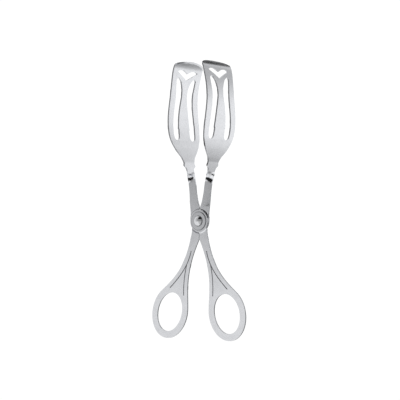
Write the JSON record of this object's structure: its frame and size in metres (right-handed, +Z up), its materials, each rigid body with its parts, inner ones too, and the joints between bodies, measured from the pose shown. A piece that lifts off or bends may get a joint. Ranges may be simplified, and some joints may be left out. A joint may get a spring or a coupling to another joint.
{
  "type": "serving tongs",
  "caption": "Scissor-action serving tongs: finger-ring handles, a riveted pivot, and bowed, pierced blades with inward-curled tips, standing closed.",
  "frame": {"origin": "centre of the closed tongs' box", "axes": "+Z up along the tongs towards the blade tips; +Y is the hinge's axis, square to the flat handles, and -Y is the side of the rivet's domed head; +X is the side of the front arm's finger ring"},
  "size_m": [0.0856, 0.0344, 0.1988],
  "materials": {
    "arm_steel": "satin-polished stainless sheet, edges tumbled smooth",
    "rivet_steel": "bright polished stainless steel",
    "washer_steel": "bright stainless steel"
  },
  "bodies": {
    "front_half": {"front_arm": "arm_steel", "rivet": "rivet_steel", "front_washer": "washer_steel", "rear_washer": "washer_steel"},
    "rear_half": {"rear_arm": "arm_steel"}
  },
  "joints": [
    {"name": "opening", "type": "hinge", "parent": "front_half", "child": "rear_half", "pos_m": [0, 0, -0.01507], "axis": [0, 1, 0], "range_deg": [0, 50]}
  ]
}
